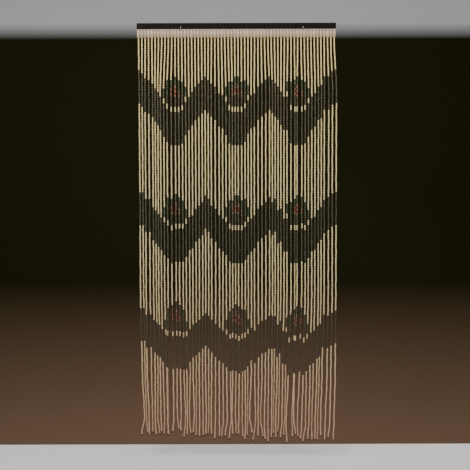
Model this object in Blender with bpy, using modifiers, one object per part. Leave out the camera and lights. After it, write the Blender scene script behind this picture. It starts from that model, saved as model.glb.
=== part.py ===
"""A bead curtain on its wooden rail, hung on two square bend hooks.

Metres, +Z up, +X to the right, -Y towards the viewer.
The origin is the centre of the rail's back face, which lies on the plane y = 0.
"""

import math

import bpy
import numpy as np

# Rail
RAIL_LENGTH = 0.950
RAIL_HEIGHT = 0.026
RAIL_DEPTH = 0.014
RAIL_EDGE = 0.0012
GAP = 0.0003

# Heading tape, held in a groove under the rail
TAPE_THICKNESS = 0.0024
TAPE_LENGTH = 0.948
TAPE_TOP = -0.0053
GROOVE_ROOF = TAPE_TOP + GAP
CURTAIN_Y = -0.007

# Heading tubes, one over each strand
STRANDS = 60
PITCH = RAIL_LENGTH / STRANDS
TUBE_RADIUS = 0.0076
TUBE_LENGTH = 0.038
TUBE_TOP = -RAIL_HEIGHT / 2 - 0.004
TUBE_FOOT = TUBE_TOP - TUBE_LENGTH
TAPE_FOOT = TUBE_TOP - 0.002

# Strands of wooden beads: how long a bead is, how wide, and how many hang on a strand
BEAD = 0.008
BEAD_WIDTH = 0.007
BEADS_TO_HEM = 239
# The beads that each strand has more or less than that, in rows of ten strands
HEM_BEADS = (
    0, -1, 0, -1, 0, 0, -2, 0, 0, 0,
    -2, -3, -2, 2, 0, 0, -1, 1, 1, 1,
    0, 0, 0, 3, 1, 2, 1, 3, 0, 0,
    0, 2, 3, 1, -1, 4, 1, 2, 3, 5,
    2, 0, 2, -1, 2, 1, 5, 2, 0, 2,
    3, 5, 3, 4, 3, 4, 1, 4, 2, 4,
)
END_BEAD_RADIUS = 0.0052
END_BEAD_LENGTH = 0.0115
RING_SHARES = (
    0.0, 0.07, 0.14, 0.36, 0.50, 0.62, 0.69, 0.76, 0.84, 0.88, 0.92, 0.955, 0.98, 1.0,
)

# Sideways drift of the strands in millimetres, as (strand number, drift), read in straight lines
DRIFT_MIDDLE = (
    (1, 1), (3, -3), (5, 1), (8, -9), (10, -9), (12, -1), (14, 1), (20, 1), (23, -3), (25, 3),
    (28, 5), (31, 0), (33, 1), (36, -2), (40, 8), (44, -1), (46, -3), (48, 3), (49, -2),
    (50, 5), (55, 5), (57, 2), (58, 7), (59, 9), (60, 12),
)
DRIFT_LOWER = (
    (1, 7), (3, -1), (5, 6), (8, -4), (9, 0), (10, -14), (11, -1), (14, 3), (17, 0), (23, -5),
    (25, 0), (28, 7), (29, 2), (32, 2), (34, -4), (38, 2), (41, 2), (44, -8), (46, -10),
    (47, -14), (48, -2), (49, -16), (50, -6), (53, -3), (55, -2), (57, -8), (58, 2), (59, 3), (60, 10),
)
DRIFT_BEND = (
    (1, 16), (2, 8), (5, 5), (6, 0), (9, 2), (10, -12), (11, 0), (12, 0), (14, 9), (16, -4),
    (17, 5), (18, -2), (21, 0), (23, -8), (25, 0), (28, 10), (29, -2), (33, 1), (35, -11),
    (36, 2), (38, -5), (41, 1), (43, -11), (46, -13), (47, -24), (48, -10), (49, -19),
    (52, -7), (55, -9), (57, -14), (58, -6), (59, -1), (60, 5),
)
DRIFT_HEM = (
    (1, 2), (2, 13), (3, 7), (6, 8), (8, -1), (9, 5), (10, -14), (12, 7), (13, 1), (16, 2),
    (18, -4), (20, 0), (22, -7), (24, -7), (25, 0), (26, -5), (30, 3), (31, -2), (32, 3),
    (34, -7), (35, -1), (36, -10), (38, 7), (39, 0), (41, 0), (44, -17), (47, -21), (48, -7),
    (52, -19), (54, -8), (57, -14), (58, -9), (59, -8), (60, 2),
)
DRIFT_LEVELS = (0.0, 0.14, 0.62, 0.84, 0.955, 1.0)

# In the lower part every other strand hangs in front of its neighbours, so strands can cross
FRONT_STEP = 0.0112
FRONT_FROM = 0.36
FRONT_TO = 0.74

# Square bend hooks under the rail
HOOK_PLACES = {"hook_left": -0.265, "hook_right": 0.318}
HOOK_WIRE = 0.0015
HOOK_LIFT = 0.0078
HOOK_SHANK = 0.013
HOOK_BEND = 0.0032
HOOK_Z = -RAIL_HEIGHT / 2 - GAP - HOOK_WIRE
HOOK_FRONT_Y = -RAIL_DEPTH - GAP - HOOK_WIRE
NOTCH_WIDTH = 0.0064
NOTCH_TOP = -RAIL_HEIGHT / 2 + 0.0004


def read_chart(chart, number):
    """The value of a short chart at a strand number."""
    return float(np.interp(number, [row[0] for row in chart], [row[1] for row in chart]))


def ease(value):
    """A soft step from 0 to 1."""
    value = min(max(value, 0.0), 1.0)
    return value * value * (3.0 - 2.0 * value)


def strand_beads(number):
    """How many beads hang on a strand: the hem is a little uneven and lower on the right."""
    return BEADS_TO_HEM + HEM_BEADS[number - 1]


def strand_x(number):
    """Where a strand's tube hangs."""
    return -RAIL_LENGTH / 2 + (number - 0.5) * PITCH


def strand_drift(number, share):
    """Sideways drift of a strand at a share of its drop, smooth between the charted levels."""
    charts = (DRIFT_MIDDLE, DRIFT_MIDDLE, DRIFT_LOWER, DRIFT_BEND, DRIFT_HEM)
    charted = [0.0] + [read_chart(chart, number) for chart in charts]
    for low, high, start, end in zip(charted, charted[1:], DRIFT_LEVELS, DRIFT_LEVELS[1:]):
        if share <= end:
            return 0.001 * (low + (high - low) * ease((share - start) / (end - start)))
    return 0.001 * charted[-1]


def strand_point(number, share):
    """The centre of a strand at a share of its drop, 0 at the tube and 1 above the end bead."""
    x = strand_x(number) + strand_drift(number, share)
    forward = FRONT_STEP * ease((share - FRONT_FROM) / (FRONT_TO - FRONT_FROM)) if number % 2 else 0.0
    drop = strand_beads(number) * BEAD
    return x, CURTAIN_Y - forward, TUBE_FOOT - share * drop


def strand_shell(number):
    """Points and faces of one heading tube with its strand and end bead, as one closed shell."""
    points = []
    faces = []

    def ring(x, y, z, radius, sides, turn=0.0):
        first = len(points)
        for step in range(sides):
            angle = turn + 2.0 * math.pi * step / sides
            points.append((x + radius * math.cos(angle), y + radius * math.sin(angle), z))
        return list(range(first, first + sides))

    def skin(upper, lower):
        for step in range(len(upper)):
            after = (step + 1) % len(upper)
            faces.append((upper[step], lower[step], lower[after], upper[after]))

    x, y, _ = strand_point(number, 0.0)
    top = ring(x, y, TUBE_TOP, TUBE_RADIUS, 8)
    foot = ring(x, y, TUBE_FOOT, TUBE_RADIUS, 8)
    faces.append(tuple(top))
    skin(top, foot)
    rings = [ring(*strand_point(number, share), BEAD_WIDTH / 2, 4) for share in RING_SHARES]
    for step in range(4):
        corner, middle, following = foot[2 * step], foot[2 * step + 1], foot[(2 * step + 2) % 8]
        here, after = rings[0][step], rings[0][(step + 1) % 4]
        faces.append((corner, here, middle))
        faces.append((middle, here, after))
        faces.append((middle, after, following))
    end_x, end_y, end_z = strand_point(number, 1.0)
    for share, radius in ((0.22, END_BEAD_RADIUS), (0.72, END_BEAD_RADIUS), (1.0, 0.0026)):
        rings.append(ring(end_x, end_y, end_z - share * END_BEAD_LENGTH, radius, 4))
    for upper, lower in zip(rings, rings[1:]):
        skin(upper, lower)
    faces.append(tuple(reversed(rings[-1])))
    return points, faces


def add_mesh(name, points, faces, collection):
    """A new object from points and faces."""
    mesh = bpy.data.meshes.new(name)
    mesh.from_pydata(points, [], faces)
    mesh.update()
    thing = bpy.data.objects.new(name, mesh)
    collection.objects.link(thing)
    return thing


def box_shell(low, high):
    """Points and outward faces of a box."""
    xs, ys, zs = zip(low, high)
    points = [(x, y, z) for z in zs for y in ys for x in xs]
    faces = [(0, 2, 3, 1), (4, 5, 7, 6), (0, 1, 5, 4), (2, 6, 7, 3), (0, 4, 6, 2), (1, 3, 7, 5)]
    return points, faces


def add_material(thing, name, colour, roughness, metallic=0.0):
    """Gives an object its own Principled material."""
    material = bpy.data.materials.new(name)
    material.use_nodes = True
    shader = material.node_tree.nodes["Principled BSDF"]
    shader.inputs["Base Color"].default_value = (*colour, 1.0)
    shader.inputs["Roughness"].default_value = roughness
    shader.inputs["Metallic"].default_value = metallic
    thing.data.materials.append(material)


def add_boolean(thing, other, operation):
    """An exact Boolean between two objects."""
    modifier = thing.modifiers.new(operation.lower(), "BOOLEAN")
    modifier.operation = operation
    modifier.solver = "EXACT"
    modifier.object = other


def make_rail(parts, helpers):
    """The lath, with softened edges and the groove that holds the tape."""
    half = RAIL_LENGTH / 2
    low = (-half, -RAIL_DEPTH, -RAIL_HEIGHT / 2)
    high = (half, 0.0, RAIL_HEIGHT / 2)
    rail = add_mesh("rail", *box_shell(low, high), parts)
    bevel = rail.modifiers.new("softened edges", "BEVEL")
    bevel.width = RAIL_EDGE
    bevel.segments = 2
    side = TAPE_THICKNESS / 2 + GAP
    low = (-half - 0.01, CURTAIN_Y - side, -RAIL_HEIGHT / 2 - 0.01)
    high = (half + 0.01, CURTAIN_Y + side, GROOVE_ROOF)
    groove = add_mesh("groove_cutter", *box_shell(low, high), helpers)
    add_boolean(rail, groove, "DIFFERENCE")
    add_material(rail, "dark stained wood", (0.030, 0.022, 0.018), 0.45)


def make_curtain(parts, helpers):
    """The heading tape joined to every tube and strand, notched where the hooks pass."""
    side = TAPE_THICKNESS / 2
    low = (-TAPE_LENGTH / 2, CURTAIN_Y - side, TAPE_FOOT)
    high = (TAPE_LENGTH / 2, CURTAIN_Y + side, TAPE_TOP)
    curtain = add_mesh("strand_curtain", *box_shell(low, high), parts)
    points = []
    faces = []
    for name, place in HOOK_PLACES.items():
        low = (place - NOTCH_WIDTH / 2, CURTAIN_Y - 0.01, TUBE_TOP + 0.0001)
        high = (place + NOTCH_WIDTH / 2, CURTAIN_Y + 0.01, NOTCH_TOP)
        some, sides = box_shell(low, high)
        faces += [tuple(corner + len(points) for corner in face) for face in sides]
        points += some
    notches = add_mesh("notch_cutters", points, faces, helpers)
    points = []
    faces = []
    for number in range(1, STRANDS + 1):
        some, sides = strand_shell(number)
        faces += [tuple(corner + len(points) for corner in face) for face in sides]
        points += some
    strands = add_mesh("strand_set", points, faces, helpers)
    add_boolean(curtain, notches, "DIFFERENCE")
    add_boolean(curtain, strands, "UNION")
    add_material(curtain, "pale turned wood", (0.62, 0.52, 0.36), 0.5)


def hook_path(place):
    """Centre line of a square bend hook: shank, the run under the rail, a bend and the tip."""
    path = [(place, HOOK_SHANK, HOOK_Z), (place, HOOK_FRONT_Y + HOOK_BEND, HOOK_Z)]
    for step in range(1, 4):
        angle = math.radians(22.5 * step)
        path.append((
            place,
            HOOK_FRONT_Y + HOOK_BEND - HOOK_BEND * math.sin(angle),
            HOOK_Z + HOOK_BEND - HOOK_BEND * math.cos(angle),
        ))
    path.append((place, HOOK_FRONT_Y, HOOK_Z + HOOK_BEND))
    path.append((place, HOOK_FRONT_Y, -RAIL_HEIGHT / 2 + HOOK_LIFT))
    return path


def make_hook(name, place, parts):
    """A bent wire hook, made as a bevelled curve."""
    curve = bpy.data.curves.new(name, "CURVE")
    curve.dimensions = "3D"
    curve.bevel_depth = HOOK_WIRE
    curve.bevel_resolution = 2
    curve.use_fill_caps = True
    path = hook_path(place)
    spline = curve.splines.new("POLY")
    spline.points.add(len(path) - 1)
    for point, where in zip(spline.points, path):
        point.co = (*where, 1.0)
    hook = bpy.data.objects.new(name, curve)
    parts.objects.link(hook)
    add_material(hook, name + " steel", (0.46, 0.44, 0.42), 0.4, 1.0)


def main():
    for thing in list(bpy.data.objects):
        bpy.data.objects.remove(thing, do_unlink=True)
    parts = bpy.data.collections.new("Bead curtain")
    helpers = bpy.data.collections.new("Cutters")
    bpy.context.scene.collection.children.link(parts)
    bpy.context.scene.collection.children.link(helpers)
    make_rail(parts, helpers)
    make_curtain(parts, helpers)
    for name, place in HOOK_PLACES.items():
        make_hook(name, place, parts)
    for helper in helpers.objects:
        helper.hide_render = True
        helper.display_type = "WIRE"


main()
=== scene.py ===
"""The looks of a wooden bead curtain on its rail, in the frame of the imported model.

Metres, +Z up, -Y towards the viewer. The curtain hangs from the rail's underside.
"""

import math

import bpy
import numpy as np
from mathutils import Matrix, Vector

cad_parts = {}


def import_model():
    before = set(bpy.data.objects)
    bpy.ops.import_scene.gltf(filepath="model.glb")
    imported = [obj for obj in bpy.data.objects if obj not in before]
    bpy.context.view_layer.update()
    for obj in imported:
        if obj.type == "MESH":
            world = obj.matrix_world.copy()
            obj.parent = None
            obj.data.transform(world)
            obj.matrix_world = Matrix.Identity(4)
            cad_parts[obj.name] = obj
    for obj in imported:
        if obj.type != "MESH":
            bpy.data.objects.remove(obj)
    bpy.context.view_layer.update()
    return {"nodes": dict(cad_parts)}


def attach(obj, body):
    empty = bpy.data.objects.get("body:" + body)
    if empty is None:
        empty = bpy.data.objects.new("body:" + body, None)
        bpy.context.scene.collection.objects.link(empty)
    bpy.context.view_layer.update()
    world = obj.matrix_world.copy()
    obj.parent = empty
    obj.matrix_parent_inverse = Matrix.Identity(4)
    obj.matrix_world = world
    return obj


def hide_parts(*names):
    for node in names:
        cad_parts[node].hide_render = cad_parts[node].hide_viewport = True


# Sizes that the curtain shares with the solids
RAIL_LENGTH = 0.950
RAIL_HEIGHT = 0.026
RAIL_DEPTH = 0.014
CURTAIN_Y = -0.007
STRANDS = 60
PITCH = RAIL_LENGTH / STRANDS
TUBE_RADIUS = 0.0076
TUBE_LENGTH = 0.038
TUBE_TOP = -RAIL_HEIGHT / 2 - 0.004
TUBE_FOOT = TUBE_TOP - TUBE_LENGTH
TAPE_THICKNESS = 0.0024
TAPE_LENGTH = 0.948
TAPE_TOP = -0.0053
TAPE_FOOT = TUBE_TOP - 0.002
TAPE_COLUMNS = 480
TAPE_ROWS = (TAPE_TOP, -0.0090, -0.0126, -0.0150, TUBE_TOP + 0.0001, TAPE_FOOT)
TAPE_LOOSE_BELOW = -0.0131
TAPE_PUCKER = 0.0003
BEAD = 0.008
BEAD_RADIUS = 0.0035
BEAD_END_RADIUS = 0.0021
BEAD_HALF = 0.00392
BEAD_BELLY = 0.0015
BEADS_TO_HEM = 239
END_BEAD_RADIUS = 0.0052
END_BEAD_LENGTH = 0.0115
FRONT_STEP = 0.0112
FRONT_FROM = 0.36
FRONT_TO = 0.74
HOOK_PLACES = {"hook_left": -0.265, "hook_right": 0.318}
HOOK_WIRE = 0.0015
HOOK_LIFT = 0.0078
HOOK_SHANK = 0.013
HOOK_BEND = 0.0032
HOOK_Z = -RAIL_HEIGHT / 2 - 0.0003 - HOOK_WIRE
HOOK_FRONT_Y = -RAIL_DEPTH - 0.0003 - HOOK_WIRE
HOOK_SCREW_RUN = 0.0125
HOOK_SCREW_RINGS = 56
HOOK_THREAD_END = 0.0110
HOOK_CORE = 0.0010
HOOK_BEND_STEPS = 8
NOTCH_WIDTH = 0.0064
NOTCH_ROWS = (2, 3)
THREAD_PITCH = 0.0011
THREAD_HEIGHT = 0.0004

# The photograph's view, in millimetres of lens, metres and degrees
CAMERA_LENS = 48.04
CAMERA_PLACE = (-0.0085, -3.035, -0.8855)
CAMERA_TIP = 2.125
CAMERA_ROLL = 0.15

# Sideways drift of the strands in millimetres, as (strand number, drift), joined by straight lines.
# The values follow where the strands lie in the photograph at each level of DRIFT_LEVELS.
DRIFT_MIDDLE = (
    (1, 1), (3, -3), (5, 1), (8, -9), (10, -9), (12, -1), (14, 1), (20, 1), (23, -3), (25, 3),
    (28, 5), (31, 0), (33, 1), (36, -2), (40, 8), (44, -1), (46, -3), (48, 3), (49, -2),
    (50, 5), (55, 5), (57, 2), (58, 7), (59, 9), (60, 12),
)
DRIFT_LOWER = (
    (1, 7), (3, -1), (5, 6), (8, -4), (9, 0), (10, -14), (11, -1), (14, 3), (17, 0), (23, -5),
    (25, 0), (28, 7), (29, 2), (32, 2), (34, -4), (38, 2), (41, 2), (44, -8), (46, -10),
    (47, -14), (48, -2), (49, -16), (50, -6), (53, -3), (55, -2), (57, -8), (58, 2), (59, 3), (60, 10),
)
DRIFT_BEND = (
    (1, 16), (2, 8), (5, 5), (6, 0), (9, 2), (10, -12), (11, 0), (12, 0), (14, 9), (16, -4),
    (17, 5), (18, -2), (21, 0), (23, -8), (25, 0), (28, 10), (29, -2), (33, 1), (35, -11),
    (36, 2), (38, -5), (41, 1), (43, -11), (46, -13), (47, -24), (48, -10), (49, -19),
    (52, -7), (55, -9), (57, -14), (58, -6), (59, -1), (60, 5),
)
DRIFT_HEM = (
    (1, 2), (2, 13), (3, 7), (6, 8), (8, -1), (9, 5), (10, -14), (12, 7), (13, 1), (16, 2),
    (18, -4), (20, 0), (22, -7), (24, -7), (25, 0), (26, -5), (30, 3), (31, -2), (32, 3),
    (34, -7), (35, -1), (36, -10), (38, 7), (39, 0), (41, 0), (44, -17), (47, -21), (48, -7),
    (52, -19), (54, -8), (57, -14), (58, -9), (59, -8), (60, 2),
)
DRIFT_LEVELS = (0.0, 0.14, 0.62, 0.84, 0.955, 1.0)

# The beads that each strand has more or less than BEADS_TO_HEM, in rows of ten strands
HEM_BEADS = (
    0, -1, 0, -1, 0, 0, -2, 0, 0, 0,
    -2, -3, -2, 2, 0, 0, -1, 1, 1, 1,
    0, 0, 0, 3, 1, 2, 1, 3, 0, 0,
    0, 2, 3, 1, -1, 4, 1, 2, 3, 5,
    2, 0, 2, -1, 2, 1, 5, 2, 0, 2,
    3, 5, 3, 4, 3, 4, 1, 4, 2, 4,
)

# The bead chart: three zigzag rows, counted in beads below the heading.
# HILLS is the lower edge of each dark row at its highest points, and ROW_STEPS how much lower
# that edge hangs on the strands from a hill (first) to a valley (last).
HILLS = (44, 115, 186)
ROW_STEPS = (
    (0, 2, 4, 5, 9, 11, 15, 19, 20, 21),
    (0, 2, 5, 8, 11, 13, 16, 19, 20, 20),
    (0, 1, 4, 6, 8, 10, 13, 15, 15, 15),
)
DARK_BEADS = 20
DASH_BEADS = 3
VALLEYS = (12.0, 30.5, 49.0)
HILL_TO_VALLEY = 9
OUTER_STEP = 2

# How many beads lower than the row's even edge each strand is strung, less than 0 for higher,
# in rows of ten strands for each zigzag row
ROW_SLIPS = (
    (
        -1, -1, 0, -1, -1, 1, -1, 0, 0, -1,
        0, -1, 0, 0, -1, 0, -1, 0, -1, -1,
        -1, -1, -1, 0, 0, -1, -1, 0, 0, -1,
        -1, 0, -1, -2, -1, 0, 0, -1, -1, -1,
        -1, -1, 0, -1, 0, -4, 0, 0, -1, 0,
        0, 0, 0, 0, 0, 0, -3, -1, -2, -1,
    ),
    (
        1, -1, 1, -1, 1, 0, -1, -1, -1, -2,
        0, -1, -1, 0, 0, -1, 0, -1, 0, 1,
        -1, -1, 0, -1, 0, 0, -1, 0, 0, 0,
        0, 0, -1, -1, 0, 0, -1, 0, 1, 0,
        1, -4, 0, -4, 0, -3, 1, 0, 0, -1,
        1, 1, 0, 1, 0, 1, 0, 0, 0, 1,
    ),
    (
        0, -2, 0, -1, -1, -1, -2, -1, -1, -2,
        -2, -2, -2, -1, 0, -1, -2, -1, -1, 0,
        -1, 0, -1, 0, 0, 0, -1, 0, -1, 0,
        1, 0, -1, -1, -2, 2, 0, 0, 2, 1,
        0, -3, 0, -4, 0, -2, 2, 1, 1, 0,
        2, 2, 1, 2, 1, 2, -1, 1, 1, 2,
    ),
)

# Rosebuds above the valleys, one word for each strand from top to bottom: leaf, rose, pink, dark
ROSE_OF_EIGHT = (
    "LLLLLL",
    "LLLLLLLLDDDDDD",
    "LLPDPRRPDDDDDDD",
    "LLLLPDPRRPPDDDDDDD",
    "LLLLDPPRRRPDDDDDDD",
    "LLLLDDPDPDDDDDD",
    "LLLLDDDDLLLDDD",
    "LLLLLL",
)
ROSE_OF_SEVEN = (
    "LLLLLL",
    "LLLLLLLLDDDDDD",
    "LLLLDPRRPDDDDDDD",
    "LLLLDPPRPRRPDDDDDD",
    "LLLLDDDPRPDDDDDD",
    "LLLLLLLLDDDDDD",
    "LLLLLL",
)
ROSES = ((9, ROSE_OF_SEVEN), (27, ROSE_OF_EIGHT), (46, ROSE_OF_SEVEN))


def read_chart(chart, number):
    """The value of a short chart at a strand number."""
    return float(np.interp(number, [row[0] for row in chart], [row[1] for row in chart]))


def ease(value):
    """A soft step from 0 to 1."""
    value = min(max(value, 0.0), 1.0)
    return value * value * (3.0 - 2.0 * value)


def strand_beads(number):
    """How many beads hang on a strand: the hem is a little uneven and lower on the right."""
    return BEADS_TO_HEM + HEM_BEADS[number - 1]


def strand_x(number):
    """Where a strand's tube hangs."""
    return -RAIL_LENGTH / 2 + (number - 0.5) * PITCH


def strand_drift(number, share):
    """Sideways drift of a strand at a share of its drop, smooth between the charted levels."""
    charts = (DRIFT_MIDDLE, DRIFT_MIDDLE, DRIFT_LOWER, DRIFT_BEND, DRIFT_HEM)
    charted = [0.0] + [read_chart(chart, number) for chart in charts]
    for low, high, start, end in zip(charted, charted[1:], DRIFT_LEVELS, DRIFT_LEVELS[1:]):
        if share <= end:
            return 0.001 * (low + (high - low) * ease((share - start) / (end - start)))
    return 0.001 * charted[-1]


def strand_sway(number, share):
    """The slight unevenness of a string of beads, finer than the solid rods follow."""
    slow = 0.6 * math.sin(1.7 * number + 118.0 * share)
    fast = 0.4 * math.sin(3.9 * number + 190.0 * share)
    wave = slow + fast
    return 0.001 * wave * ease(share / 0.04) * (0.45 + 0.55 * share)


def strand_point(number, share):
    """The centre of a strand at a share of its drop, 0 at the tube and 1 above the end bead."""
    x = strand_x(number) + strand_drift(number, share) + strand_sway(number, share)
    forward = FRONT_STEP * ease((share - FRONT_FROM) / (FRONT_TO - FRONT_FROM)) if number % 2 else 0.0
    drop = strand_beads(number) * BEAD
    return Vector((x, CURTAIN_Y - forward, TUBE_FOOT - share * drop))


def strand_colours(number):
    """The colour letter of each bead on a strand, from the heading down.

    N natural, D dark, L leaf, R rose, P pink.
    """
    beads = ["N"] * strand_beads(number)
    nearest = min(abs(number - valley) for valley in VALLEYS)
    step = HILL_TO_VALLEY - int(nearest)
    for hill, steps, slips in zip(HILLS, ROW_STEPS, ROW_SLIPS):
        lower = hill + (steps[step] if step >= 0 else OUTER_STEP * step) + slips[number - 1]
        upper = lower - DARK_BEADS
        for place in range(upper, lower):
            beads[place] = "D"
        for first, rose in ROSES:
            if first <= number < first + len(rose):
                column = rose[number - first]
                top = upper - DASH_BEADS - len(column)
                for place, letter in enumerate(column):
                    beads[top + place] = letter
    return beads


# Small helpers for meshes


def new_object(name, mesh):
    """A new object in the scene."""
    thing = bpy.data.objects.new(name, mesh)
    bpy.context.scene.collection.objects.link(thing)
    return thing


def turned(name, profile, sides):
    """A piece turned on a lathe: profile is (radius, height) from the top down, closed by flat ends."""
    points = []
    faces = []
    for radius, height in profile:
        for step in range(sides):
            angle = 2.0 * math.pi * step / sides
            points.append((radius * math.cos(angle), radius * math.sin(angle), height))
    faces.append(tuple(range(sides)))
    for row in range(len(profile) - 1):
        for step in range(sides):
            after = (step + 1) % sides
            upper = row * sides
            lower = upper + sides
            faces.append((upper + step, lower + step, lower + after, upper + after))
    last = (len(profile) - 1) * sides
    faces.append(tuple(last + step for step in reversed(range(sides))))
    mesh = bpy.data.meshes.new(name)
    mesh.from_pydata(points, [], faces)
    mesh.polygons.foreach_set("use_smooth", [True] * len(faces))
    mesh.update()
    return new_object(name, mesh)


def hanging_points(name, places):
    """A mesh of loose points, each with the direction in which its copy hangs."""
    mesh = bpy.data.meshes.new(name)
    mesh.from_pydata([place for place, _ in places], [], [])
    hang = mesh.attributes.new("hang", "FLOAT_VECTOR", "POINT")
    hang.data.foreach_set("vector", [value for _, line in places for value in line])
    return new_object(name, mesh)


# Node trees that repeat a turned piece along the strands


def threading_tree():
    """Threads a copy of a turned piece on every point along a strand, each a little different."""
    tree = bpy.data.node_groups.new("threaded on strands", "GeometryNodeTree")
    face = tree.interface
    face.new_socket("Geometry", in_out="INPUT", socket_type="NodeSocketGeometry")
    face.new_socket("Turned Piece", in_out="INPUT", socket_type="NodeSocketObject")
    face.new_socket("Size Spread", in_out="INPUT", socket_type="NodeSocketFloat")
    face.new_socket("Lean", in_out="INPUT", socket_type="NodeSocketFloat")
    face.new_socket("Seed", in_out="INPUT", socket_type="NodeSocketInt")
    face.new_socket("Finish", in_out="INPUT", socket_type="NodeSocketMaterial")
    face.new_socket("Geometry", in_out="OUTPUT", socket_type="NodeSocketGeometry")
    nodes = tree.nodes
    link = tree.links.new
    given = nodes.new("NodeGroupInput")
    copy = nodes.new("GeometryNodeObjectInfo")
    copy.transform_space = "ORIGINAL"
    link(given.outputs["Turned Piece"], copy.inputs["Object"])

    hang = nodes.new("GeometryNodeInputNamedAttribute")
    hang.data_type = "FLOAT_VECTOR"
    hang.inputs["Name"].default_value = "hang"
    upright = nodes.new("FunctionNodeAlignRotationToVector")
    upright.axis = "Z"
    link(hang.outputs["Attribute"], upright.inputs["Vector"])

    # A random turn about the string, and a slight lean of each piece on it
    turn = nodes.new("FunctionNodeRandomValue")
    turn.data_type = "FLOAT"
    turn.inputs[2].default_value = 0.0
    turn.inputs[3].default_value = 2.0 * math.pi
    link(given.outputs["Seed"], turn.inputs["Seed"])
    tilt = nodes.new("FunctionNodeRandomValue")
    tilt.data_type = "FLOAT"
    tilt.inputs[2].default_value = 0.0
    link(given.outputs["Lean"], tilt.inputs[3])
    other_seed = nodes.new("FunctionNodeIntegerMath")
    other_seed.operation = "ADD"
    other_seed.inputs[1].default_value = 7
    link(given.outputs["Seed"], other_seed.inputs[0])
    link(other_seed.outputs[0], tilt.inputs["Seed"])
    angles = nodes.new("ShaderNodeCombineXYZ")
    link(tilt.outputs[1], angles.inputs["X"])
    link(turn.outputs[1], angles.inputs["Z"])
    spin = nodes.new("FunctionNodeEulerToRotation")
    link(angles.outputs[0], spin.inputs[0])
    turned_round = nodes.new("FunctionNodeRotateRotation")
    turned_round.rotation_space = "LOCAL"
    link(upright.outputs[0], turned_round.inputs["Rotation"])
    link(spin.outputs[0], turned_round.inputs["Rotate By"])

    # Girth varies from piece to piece, and no piece is longer than its place on the string
    girth = nodes.new("FunctionNodeRandomValue")
    girth.data_type = "FLOAT"
    smallest = nodes.new("ShaderNodeMath")
    smallest.operation = "SUBTRACT"
    smallest.inputs[0].default_value = 1.0
    link(given.outputs["Size Spread"], smallest.inputs[1])
    link(smallest.outputs[0], girth.inputs[2])
    girth.inputs[3].default_value = 1.0
    link(given.outputs["Seed"], girth.inputs["Seed"])
    size = nodes.new("ShaderNodeCombineXYZ")
    link(girth.outputs[1], size.inputs["X"])
    link(girth.outputs[1], size.inputs["Y"])
    size.inputs["Z"].default_value = 1.0

    thread = nodes.new("GeometryNodeInstanceOnPoints")
    link(given.outputs["Geometry"], thread.inputs["Points"])
    link(copy.outputs["Geometry"], thread.inputs["Instance"])
    link(turned_round.outputs[0], thread.inputs["Rotation"])
    link(size.outputs[0], thread.inputs["Scale"])

    # Each piece has a tone of its own, which its stain reads
    tone = nodes.new("FunctionNodeRandomValue")
    tone.data_type = "FLOAT"
    third_seed = nodes.new("FunctionNodeIntegerMath")
    third_seed.operation = "ADD"
    third_seed.inputs[1].default_value = 31
    link(given.outputs["Seed"], third_seed.inputs[0])
    link(third_seed.outputs[0], tone.inputs["Seed"])
    keep = nodes.new("GeometryNodeStoreNamedAttribute")
    keep.data_type = "FLOAT"
    keep.domain = "INSTANCE"
    keep.inputs["Name"].default_value = "tone"
    link(thread.outputs["Instances"], keep.inputs["Geometry"])
    link(tone.outputs[1], keep.inputs["Value"])
    real = nodes.new("GeometryNodeRealizeInstances")
    link(keep.outputs["Geometry"], real.inputs["Geometry"])
    finish = nodes.new("GeometryNodeSetMaterial")
    link(real.outputs["Geometry"], finish.inputs["Geometry"])
    link(given.outputs["Finish"], finish.inputs["Material"])
    out = nodes.new("NodeGroupOutput")
    link(finish.outputs["Geometry"], out.inputs["Geometry"])
    return tree


def thread_on(name, tree, places, copy, finish, spread, lean, seed):
    """One piece of the curtain: copies of a turned piece on the given places, as a plain mesh."""
    holder = hanging_points(name + "_places", places)
    modifier = holder.modifiers.new("threaded", "NODES")
    modifier.node_group = tree
    values = {
        "Turned Piece": copy, "Size Spread": spread, "Lean": lean, "Seed": seed, "Finish": finish,
    }
    for socket in tree.interface.items_tree:
        if socket.in_out == "INPUT" and socket.name in values:
            modifier[socket.identifier] = values[socket.name]
    bpy.context.view_layer.update()
    graph = bpy.context.evaluated_depsgraph_get()
    mesh = bpy.data.meshes.new_from_object(holder.evaluated_get(graph))
    bpy.data.objects.remove(holder)
    mesh.name = name
    return new_object(name, mesh)


# Finishes


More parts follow.
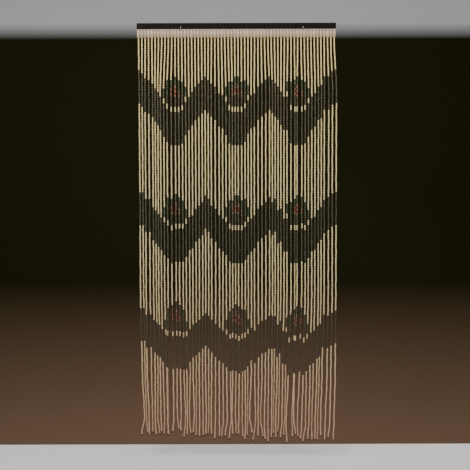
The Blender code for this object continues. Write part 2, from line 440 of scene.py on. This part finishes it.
class Finish:
    """A material being mixed, with short ways to add and join its nodes."""

    def __init__(self, name):
        self.material = bpy.data.materials.new(name)
        self.material.use_nodes = True
        self.nodes = self.material.node_tree.nodes
        self.link = self.material.node_tree.links.new
        self.shader = self.nodes["Principled BSDF"]
        self.place = self.nodes.new("ShaderNodeTexCoord").outputs["Object"]

    def add(self, kind, settings=None, inputs=None):
        """A node with its settings, and its inputs given as values or as sockets."""
        node = self.nodes.new(kind)
        for key, value in (settings or {}).items():
            setattr(node, key, value)
        for key, value in (inputs or {}).items():
            if isinstance(value, bpy.types.NodeSocket):
                self.link(value, node.inputs[key])
            else:
                node.inputs[key].default_value = value
        return node

    def stretched(self, scale):
        """Object coordinates stretched along a grain."""
        return self.add("ShaderNodeMapping", inputs={"Vector": self.place, "Scale": scale}).outputs[0]

    def noise(self, where, scale, detail=2.0, rough=0.5):
        """A noise value from 0 to 1."""
        inputs = {"Vector": where, "Scale": scale, "Detail": detail, "Roughness": rough}
        return self.add("ShaderNodeTexNoise", inputs=inputs).outputs["Fac"]

    def between(self, value, low, high, start, end):
        """A value mapped from one range to another."""
        inputs = {"Value": value, "From Min": low, "From Max": high, "To Min": start, "To Max": end}
        return self.add("ShaderNodeMapRange", inputs=inputs).outputs[0]

    def maths(self, operation, *values):
        """One sum of two or three values."""
        return self.add("ShaderNodeMath", {"operation": operation}, dict(enumerate(values))).outputs[0]

    def blend(self, share, first, second, mode="MIX"):
        """Two colours mixed by a share."""
        node = self.add("ShaderNodeMix", {"data_type": "RGBA", "blend_type": mode})
        for key, value in ((0, share), (6, first), (7, second)):
            if isinstance(value, bpy.types.NodeSocket):
                self.link(value, node.inputs[key])
            else:
                node.inputs[key].default_value = value if key == 0 else (*value, 1.0)
        return node.outputs[2]

    def tone(self):
        """The tone that each threaded piece carries."""
        node = self.add("ShaderNodeAttribute", {"attribute_name": "tone"})
        return node.outputs["Fac"]

    def surface(self, colour, roughness, height=None, depth=0.0001, strength=0.5):
        """Joins colour, roughness and relief to the shader."""
        self.link(colour, self.shader.inputs["Base Color"])
        if isinstance(roughness, float):
            self.shader.inputs["Roughness"].default_value = roughness
        else:
            self.link(roughness, self.shader.inputs["Roughness"])
        if height is not None:
            bump = self.add("ShaderNodeBump", inputs={
                "Strength": strength, "Distance": depth, "Height": height,
            })
            self.link(bump.outputs[0], self.shader.inputs["Normal"])
        return self.material


def bead_stain(name, light, dark, wear_and_light_tint, gloss=0.38):
    """Stained and varnished bead wood: a tone for each bead, fine end-to-end grain, small pores."""
    finish = Finish(name)
    grain = finish.noise(finish.stretched((1400.0, 1400.0, 160.0)), 1.0, 3.0, 0.6)
    cloud = finish.noise(finish.place, 260.0, 2.0)
    pores = finish.noise(finish.stretched((3200.0, 3200.0, 700.0)), 1.0, 1.0)
    fine = finish.between(grain, 0.3, 0.7, 0.0, 0.38)
    mixed = finish.maths("MULTIPLY_ADD", finish.tone(), 0.62, fine)
    colour = finish.blend(mixed, dark, light)
    colour = finish.blend(finish.between(cloud, 0.55, 0.8, 0.0, 0.35), colour, wear_and_light_tint)
    # Painted light: the beads are a little brighter and yellower near the heading and dimmer and cooler
    # lower down, standing in for the fall of light.
    drop = finish.add("ShaderNodeSeparateXYZ", inputs={0: finish.place}).outputs["Z"]
    down = finish.between(drop, -0.1, -0.9, 0.0, 1.0)
    light_falloff_tint = finish.blend(down, (1.03, 1.02, 0.85), (0.89, 0.94, 0.95))
    # Painted shade and light: near the hem the beads are darker and pinker, standing in for less light
    # and a warm bounce from below.
    low = finish.between(drop, -1.1, -1.9, 0.0, 1.0)
    hem_shade_and_bounce = finish.blend(low, light_falloff_tint, (0.70, 0.55, 0.68))
    colour = finish.blend(1.0, colour, hem_shade_and_bounce, "MULTIPLY")
    roughness = finish.between(grain, 0.25, 0.75, gloss - 0.07, gloss + 0.12)
    height = finish.maths("ADD", grain, finish.between(pores, 0.6, 0.75, 0.0, -0.8))
    finish.shader.inputs["Specular IOR Level"].default_value = 0.35
    finish.shader.inputs["Coat Weight"].default_value = 0.06
    finish.shader.inputs["Coat Roughness"].default_value = 0.25
    return finish.surface(colour, roughness, height, 0.00006, 0.4)


def lath_stain(name):
    """Dark stain on a planed lath: long grain, a few lighter streaks, dull varnish."""
    finish = Finish(name)
    long_grain = finish.noise(finish.stretched((7.0, 260.0, 260.0)), 1.0, 5.0, 0.62)
    streaks = finish.noise(finish.stretched((2.2, 70.0, 70.0)), 1.0, 3.0, 0.5)
    pores = finish.noise(finish.stretched((90.0, 1700.0, 1700.0)), 1.0, 2.0)
    rubbed = finish.noise(finish.place, 38.0, 4.0, 0.6)
    colour = finish.blend(finish.between(long_grain, 0.3, 0.72, 0.0, 1.0),
                          (0.0035, 0.0022, 0.0018), (0.0085, 0.0056, 0.0048))
    colour = finish.blend(finish.between(streaks, 0.5, 0.75, 0.0, 0.6), colour, (0.015, 0.010, 0.008))
    colour = finish.blend(finish.between(rubbed, 0.62, 0.8, 0.0, 0.3), colour, (0.026, 0.019, 0.015))
    roughness = finish.between(long_grain, 0.3, 0.7, 0.68, 0.82)
    height = finish.maths("ADD", long_grain, finish.between(pores, 0.58, 0.72, 0.0, -1.0))
    finish.shader.inputs["Specular IOR Level"].default_value = 0.08
    return finish.surface(colour, roughness, height, 0.00012, 0.5)


def tube_wood(name):
    """Unstained turned wood, greyed by age and dusty in patches, with grain down each tube; painted
    shade darkens it just under the rail and a painted warm light tints its foot.
    """
    finish = Finish(name)
    grain = finish.noise(finish.stretched((900.0, 900.0, 45.0)), 1.0, 4.0, 0.6)
    rings = finish.noise(finish.stretched((60.0, 60.0, 520.0)), 1.0, 1.0)
    dust = finish.noise(finish.place, 120.0, 3.0)
    fine = finish.between(grain, 0.3, 0.7, 0.0, 0.5)
    mixed = finish.maths("MULTIPLY_ADD", finish.tone(), 0.5, fine)
    colour = finish.blend(mixed, (0.30, 0.228, 0.165), (0.47, 0.375, 0.275))
    colour = finish.blend(finish.between(dust, 0.5, 0.8, 0.0, 0.35), colour, (0.52, 0.42, 0.33))
    drop = finish.add("ShaderNodeSeparateXYZ", inputs={0: finish.place}).outputs["Z"]
    # Painted shade: each tube is darker at its top, just under the rail.
    under_rail = finish.between(drop, -0.034, -0.018, 0.0, 1.0)
    shaded = finish.blend(under_rail, (1.0, 1.0, 0.98), (0.82, 0.81, 0.82))
    # Painted light: a warm tint towards each tube's foot.
    near_foot = finish.between(drop, -0.038, -0.052, 0.0, 1.0)
    wear_and_light_tint = finish.blend(near_foot, shaded, (0.92, 0.90, 0.70))
    colour = finish.blend(1.0, colour, wear_and_light_tint, "MULTIPLY")
    roughness = finish.between(grain, 0.3, 0.7, 0.48, 0.66)
    height = finish.maths("ADD", grain, finish.between(rings, 0.4, 0.6, 0.0, 0.4))
    return finish.surface(colour, roughness, height, 0.00012, 0.5)


def woven_tape(name):
    """Cream cotton tape: crossing threads of a plain weave, a little soiled in patches."""
    finish = Finish(name)
    warp = finish.add("ShaderNodeTexWave", {"wave_type": "BANDS", "bands_direction": "X"}, {
        "Vector": finish.place, "Scale": 430.0, "Distortion": 0.6, "Detail": 1.0,
    }).outputs["Fac"]
    weft = finish.add("ShaderNodeTexWave", {"wave_type": "BANDS", "bands_direction": "Z"}, {
        "Vector": finish.place, "Scale": 520.0, "Distortion": 0.6, "Detail": 1.0,
    }).outputs["Fac"]
    weave = finish.maths("MULTIPLY", warp, weft)
    soil = finish.noise(finish.place, 55.0, 4.0)
    # Painted shade: the threads are darker where the weave sinks and lighter where it is raised.
    raised = finish.between(weave, 0.0, 0.8, 0.0, 1.0)
    colour = finish.blend(raised, (0.40, 0.345, 0.27), (0.68, 0.61, 0.50))
    colour = finish.blend(finish.between(soil, 0.5, 0.8, 0.0, 0.4), colour, (0.42, 0.36, 0.29))
    roughness = finish.between(weave, 0.0, 1.0, 0.95, 0.8)
    finish.shader.inputs["Sheen Weight"].default_value = 0.25
    return finish.surface(colour, roughness, weave, 0.0002, 0.6)


def knot_cotton(name):
    """Twisted cotton string."""
    finish = Finish(name)
    ply = finish.add("ShaderNodeTexWave", {"wave_type": "BANDS", "bands_direction": "DIAGONAL"}, {
        "Vector": finish.place, "Scale": 700.0, "Distortion": 1.5, "Detail": 2.0,
    }).outputs["Fac"]
    # Painted shade: the string is darker in the grooves between its plies.
    colour = finish.blend(ply, (0.17, 0.13, 0.09), (0.34, 0.27, 0.19))
    roughness = finish.between(ply, 0.0, 1.0, 0.95, 0.82)
    return finish.surface(colour, roughness, ply, 0.0002, 0.7)


def hook_steel(name):
    """Zinc plated steel wire, dulled, with fine lengthwise scratches."""
    finish = Finish(name)
    dull = finish.noise(finish.place, 240.0, 4.0, 0.6)
    scratches = finish.noise(finish.stretched((4000.0, 500.0, 1400.0)), 1.0, 2.0)
    patches = finish.between(dull, 0.35, 0.7, 0.0, 1.0)
    colour = finish.blend(patches, (0.50, 0.48, 0.46), (0.36, 0.34, 0.33))
    roughness = finish.between(finish.maths("ADD", dull, scratches), 0.7, 1.4, 0.34, 0.58)
    finish.shader.inputs["Metallic"].default_value = 1.0
    return finish.surface(colour, roughness, scratches, 0.00003, 0.3)


# Pieces


def bead_shape():
    """A small round bead, a few dozen faces, a hair shorter than its place on the string."""
    profile = (
        (BEAD_END_RADIUS, BEAD_HALF), (BEAD_RADIUS, BEAD_BELLY),
        (BEAD_RADIUS, -BEAD_BELLY), (BEAD_END_RADIUS, -BEAD_HALF),
    )
    return turned("bead_shape", profile, 8)


def bead_places():
    """The place and direction of every bead, by colour letter and strand."""
    places = {}
    for number in range(1, STRANDS + 1):
        colours = strand_colours(number)
        for count, letter in enumerate(colours):
            share = (count + 0.5) / len(colours)
            here = strand_point(number, share)
            above = strand_point(number, max(share - 0.004, 0.0))
            below = strand_point(number, min(share + 0.004, 1.0))
            line = above - below
            places.setdefault(letter, {}).setdefault(number, []).append((here, line.normalized()))
    return places


def make_beads(tree, finishes):
    """The strands' beads: natural ones in four groups, dark ones in two, and the roses' own."""
    shape = bead_shape()
    places = bead_places()
    groups = {
        "N": ("natural", 4, 15), "D": ("dark", 2, 30),
        "L": ("leaf", 1, 60), "R": ("rose", 1, 60), "P": ("pink", 1, 60),
    }
    pieces = []
    for letter, (word, count, width) in groups.items():
        for group in range(count):
            some = []
            for number in range(group * width + 1, (group + 1) * width + 1):
                some += places[letter].get(number, [])
            name = f"beads_{word}_{group + 1}" if count > 1 else f"beads_{word}"
            piece = thread_on(name, tree, some, shape, finishes[word], 0.07, 0.05, 11 + group)
            pieces.append(piece)
    bpy.data.objects.remove(shape)
    return pieces


def make_end_beads(tree, finish):
    """The larger dark red bead that closes each strand."""
    half = END_BEAD_LENGTH / 2
    profile = [(0.0018, half - 0.0003)]
    for step in range(1, 8):
        angle = math.pi * step / 8
        profile.append((END_BEAD_RADIUS * math.sin(angle) ** 0.7, (half - 0.0006) * math.cos(angle)))
    profile.append((0.0018, -half + 0.0003))
    shape = turned("end_bead_shape", profile, 12)
    places = []
    for number in range(1, STRANDS + 1):
        foot = strand_point(number, 1.0)
        line = strand_point(number, 0.985) - foot
        places.append((foot - line.normalized() * half, line.normalized()))
    piece = thread_on("end_beads", tree, places, shape, finish, 0.04, 0.03, 5)
    bpy.data.objects.remove(shape)
    return piece


def make_knots(tree, finish):
    """The knot and short cut end of the string under each end bead."""
    profile = (
        (0.0006, 0.0005), (0.0011, 0.0), (0.0013, -0.0006), (0.0010, -0.0013),
        (0.0005, -0.0017), (0.0005, -0.0028), (0.0007, -0.0038), (0.0008, -0.0042),
    )
    shape = turned("knot_shape", profile, 8)
    places = []
    for number in range(1, STRANDS + 1):
        foot = strand_point(number, 1.0)
        line = (strand_point(number, 0.985) - foot).normalized()
        places.append((foot - line * END_BEAD_LENGTH, line))
    piece = thread_on("string_knots", tree, places, shape, finish, 0.15, 0.2, 9)
    bpy.data.objects.remove(shape)
    return piece


def make_tubes(tree, finish):
    """The heading tubes: turned, with rounded shoulders and a fine groove near each end."""
    half = TUBE_LENGTH / 2
    profile = (
        (0.0018, half), (0.0046, half - 0.0003), (0.0063, half - 0.0011), (0.0072, half - 0.0024),
        (TUBE_RADIUS, half - 0.0044), (TUBE_RADIUS, half - 0.0068), (0.0072, half - 0.0072),
        (TUBE_RADIUS, half - 0.0076), (TUBE_RADIUS, -half + 0.0060), (0.0072, -half + 0.0056),
        (TUBE_RADIUS, -half + 0.0052), (0.00745, -half + 0.0026), (0.0068, -half + 0.0010),
        (0.0056, -half + 0.0002), (0.0022, -half),
    )
    shape = turned("tube_shape", profile, 16)
    places = [
        (Vector((strand_x(number), CURTAIN_Y, TUBE_TOP - half)), Vector((0.0, 0.0, 1.0)))
        for number in range(1, STRANDS + 1)
    ]
    piece = thread_on("heading_tubes", tree, places, shape, finish, 0.02, 0.0, 3)
    bpy.data.objects.remove(shape)
    return piece


def make_tape(finish):
    """The heading tape: cloth from the groove into the tubes, puckered a little over each tube."""
    half = TAPE_LENGTH / 2
    columns = TAPE_COLUMNS
    heights = TAPE_ROWS
    side = TAPE_THICKNESS / 2
    points = []
    for face in (-1, 1):
        for height in heights:
            for column in range(columns + 1):
                x = -half + 2.0 * half * column / columns
                loose = 1.0 if height < TAPE_LOOSE_BELOW else 0.0
                pucker = TAPE_PUCKER * loose * math.cos(2.0 * math.pi * (x + RAIL_LENGTH / 2) / PITCH)
                points.append((x, CURTAIN_Y + face * side + pucker, height))
    width = columns + 1
    layer = width * len(heights)
    open_columns = set()
    for place in HOOK_PLACES.values():
        for column in range(columns):
            middle = -half + 2.0 * half * (column + 0.5) / columns
            if abs(middle - place) < NOTCH_WIDTH / 2:
                open_columns.add(column)
    kept = {
        (row, column)
        for row in range(len(heights) - 1)
        for column in range(columns)
        if not (row in NOTCH_ROWS and column in open_columns)
    }
    faces = []
    for row, column in kept:
        a = row * width + column
        b, c, d = a + 1, a + width + 1, a + width
        faces.append((a, d, c, b))
        faces.append((a + layer, b + layer, c + layer, d + layer))
        for step, first, second in (((-1, 0), a, b), ((1, 0), c, d), ((0, -1), d, a), ((0, 1), b, c)):
            if (row + step[0], column + step[1]) not in kept:
                faces.append((first, second, second + layer, first + layer))
    mesh = bpy.data.meshes.new("heading_tape")
    mesh.from_pydata(points, [], sorted(faces))
    mesh.validate()
    mesh.materials.append(finish)
    mesh.update()
    piece = new_object("heading_tape", mesh)
    return piece


def hook_rings(place):
    """Centre points along a hook's wire, from the screw tip to the front tip."""
    line = [Vector((place, HOOK_SHANK, HOOK_Z))]
    for step in range(1, HOOK_SCREW_RINGS + 1):
        line.append(Vector((place, HOOK_SHANK - HOOK_SCREW_RUN * step / HOOK_SCREW_RINGS, HOOK_Z)))
    line.append(Vector((place, -0.006, HOOK_Z)))
    for step in range(HOOK_BEND_STEPS + 1):
        angle = math.radians(90.0 / HOOK_BEND_STEPS * step)
        line.append(Vector((
            place,
            HOOK_FRONT_Y + HOOK_BEND - HOOK_BEND * math.sin(angle),
            HOOK_Z + HOOK_BEND - HOOK_BEND * math.cos(angle),
        )))
    tip = -RAIL_HEIGHT / 2 + HOOK_LIFT
    for back in (0.0016, 0.0009, 0.0004, 0.0001, 0.0):
        line.append(Vector((place, HOOK_FRONT_Y, tip - back)))
    return line


def hook_radius(number, count, along, angle):
    """The wire's radius: a screw thread that runs out to a point at the back, a rounded front tip."""
    rounded = {1: 0.35, 2: 0.72, 3: 0.92, 4: 0.99}
    if number >= count - 4:
        return HOOK_WIRE * rounded[count - number]
    if along > HOOK_THREAD_END:
        return HOOK_WIRE
    turn = (along / THREAD_PITCH - angle / (2.0 * math.pi)) % 1.0
    ridge = max(0.0, 1.0 - abs(turn - 0.5) * 4.0)
    root = HOOK_CORE * min(1.0, 0.12 + along / 0.0042)
    run_out = min(1.0, (HOOK_THREAD_END - along) / 0.0008 + 0.2)
    height = THREAD_HEIGHT * min(1.0, along / 0.003) * run_out
    return root + ridge * height


def make_hook(node, place, finish):
    """A square bend screw hook, swept along its bent wire."""
    sides = 20
    line = hook_rings(place)
    points = []
    along = 0.0
    for number, here in enumerate(line):
        if number:
            along += (here - line[number - 1]).length
        before = line[max(number - 1, 0)]
        after = line[min(number + 1, len(line) - 1)]
        forward = (after - before).normalized()
        across = Vector((1.0, 0.0, 0.0))
        up = across.cross(forward).normalized()
        for step in range(sides):
            angle = 2.0 * math.pi * step / sides
            radius = hook_radius(number, len(line), along, angle)
            points.append(here + radius * (math.cos(angle) * across + math.sin(angle) * up))
    faces = [tuple(reversed(range(sides)))]
    for row in range(len(line) - 1):
        for step in range(sides):
            after = (step + 1) % sides
            faces.append((row * sides + step, row * sides + after,
                          (row + 1) * sides + after, (row + 1) * sides + step))
    last = (len(line) - 1) * sides
    faces.append(tuple(range(last, last + sides)))
    mesh = bpy.data.meshes.new("screw_" + node)
    mesh.from_pydata(points, [], faces)
    mesh.polygons.foreach_set("use_smooth", [True] * len(faces))
    mesh.materials.append(finish)
    mesh.update()
    piece = new_object("screw_" + node, mesh)
    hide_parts(node)
    return piece


# Stage, light and camera


def make_stage():
    """A plain pale floor, and a backdrop far behind it: dark, with a brown foot and a pale top."""
    floor = Finish("pale floor")
    mottle = floor.noise(floor.place, 3.0, 3.0)
    colour = floor.blend(mottle, (0.60, 0.59, 0.575), (0.63, 0.62, 0.605))
    roughness = floor.between(mottle, 0.0, 1.0, 0.75, 0.85)
    add_sheet_of_stage("pale_floor", floor.surface(colour, roughness), (
        (-7.0, -6.0, -2.10), (7.0, -6.0, -2.10), (7.0, 0.2, -2.10), (-7.0, 0.2, -2.10),
    ))
    cloth = Finish("dark backdrop")
    height = cloth.add("ShaderNodeSeparateXYZ", inputs={0: cloth.place}).outputs["Z"]
    top = cloth.between(height, 1.30, 1.50, 0.0, 1.0)
    foot = cloth.between(height, -1.8, -3.8, 0.0, 1.0)
    cloth.shader.inputs["Specular IOR Level"].default_value = 0.0
    colour = cloth.blend(foot, (0.017, 0.0155, 0.0060), (0.235, 0.140, 0.085))
    colour = cloth.blend(top, colour, (0.55, 0.545, 0.55))
    add_sheet_of_stage("dark_backdrop", cloth.surface(colour, 0.9), (
        (-16.0, 5.0, -8.0), (16.0, 5.0, -8.0), (16.0, 5.0, 8.0), (-16.0, 5.0, 8.0),
    ))


def add_sheet_of_stage(name, material, corners):
    """A flat sheet of the stage, by its four corners."""
    mesh = bpy.data.meshes.new(name)
    mesh.from_pydata(corners, [], [(0, 1, 2, 3)])
    mesh.materials.append(material)
    mesh.update()
    new_object(name, mesh)


def add_light(name, where, aim, size, power, colour):
    """A soft square lamp aimed at a point."""
    data = bpy.data.lights.new(name, "AREA")
    data.shape = "RECTANGLE"
    data.size, data.size_y = size
    data.energy = power
    data.color = colour
    lamp = bpy.data.objects.new(name, data)
    lamp.location = where
    lamp.rotation_euler = (Vector(aim) - Vector(where)).to_track_quat("-Z", "Y").to_euler()
    bpy.context.scene.collection.objects.link(lamp)


def make_light():
    """Soft studio light: a large lamp high in front, weaker ones right and behind, an even room."""
    add_light("key_light", (-1.2, -2.6, 1.85), (0.0, 0.0, -0.2), (1.8, 1.8), 200.0, (1.0, 0.97, 0.93))
    add_light("fill_light", (2.4, -2.4, 1.0), (0.0, 0.0, -0.4), (2.0, 2.0), 60.0, (0.94, 0.97, 1.0))
    add_light("back_light", (1.6, 3.2, 1.9), (0.0, 0.0, -0.8), (2.0, 2.0), 110.0, (1.0, 0.98, 0.95))
    world = bpy.data.worlds.new("even room")
    world.use_nodes = True
    world.node_tree.nodes["Background"].inputs["Color"].default_value = (0.93, 0.95, 1.0, 1.0)
    world.node_tree.nodes["Background"].inputs["Strength"].default_value = 0.36
    bpy.context.scene.world = world


def make_camera():
    """The photograph's view: straight on, from a little above the middle, tipped slightly down."""
    data = bpy.data.cameras.new("camera")
    data.sensor_width = 36.0
    data.lens = CAMERA_LENS
    camera = bpy.data.objects.new("camera", data)
    camera.location = CAMERA_PLACE
    camera.rotation_euler = (math.radians(90.0 - CAMERA_TIP), math.radians(CAMERA_ROLL), 0.0)
    bpy.context.scene.collection.objects.link(camera)
    bpy.context.scene.camera = camera


def main():
    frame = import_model()
    make_camera()
    make_light()
    make_stage()

    # The beads, in the colours of the chart
    stains = {
        "natural": ((0.75, 0.605, 0.325), (0.55, 0.42, 0.200), (0.79, 0.68, 0.43)),
        "dark": ((0.075, 0.064, 0.034), (0.032, 0.027, 0.013), (0.105, 0.093, 0.052)),
        "leaf": ((0.068, 0.084, 0.040), (0.026, 0.038, 0.016), (0.095, 0.108, 0.064)),
        "rose": ((0.19, 0.048, 0.022), (0.085, 0.018, 0.009), (0.24, 0.085, 0.050)),
        "pink": ((0.29, 0.160, 0.100), (0.15, 0.080, 0.050), (0.33, 0.21, 0.145)),
        "end": ((0.150, 0.050, 0.020), (0.055, 0.018, 0.008), (0.18, 0.080, 0.038), 0.3),
    }
    finishes = {word: bead_stain(word + " beads", *stain) for word, stain in stains.items()}
    tree = threading_tree()
    pieces = make_beads(tree, finishes)
    pieces.append(make_end_beads(tree, finishes["end"]))
    pieces.append(make_knots(tree, knot_cotton("knotted string")))
    pieces.append(make_tubes(tree, tube_wood("heading tube wood")))
    tape = make_tape(woven_tape("heading tape cotton"))
    pieces.append(tape)
    for piece in pieces:
        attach(piece, "root")
        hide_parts("strand_curtain")

    steel = hook_steel("hook steel")
    for node, place in HOOK_PLACES.items():
        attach(make_hook(node, place, steel), "root")

    rail = frame["nodes"]["rail"]
    rail.data.materials.clear()
    rail.data.materials.append(lath_stain("dark stained lath"))


main()
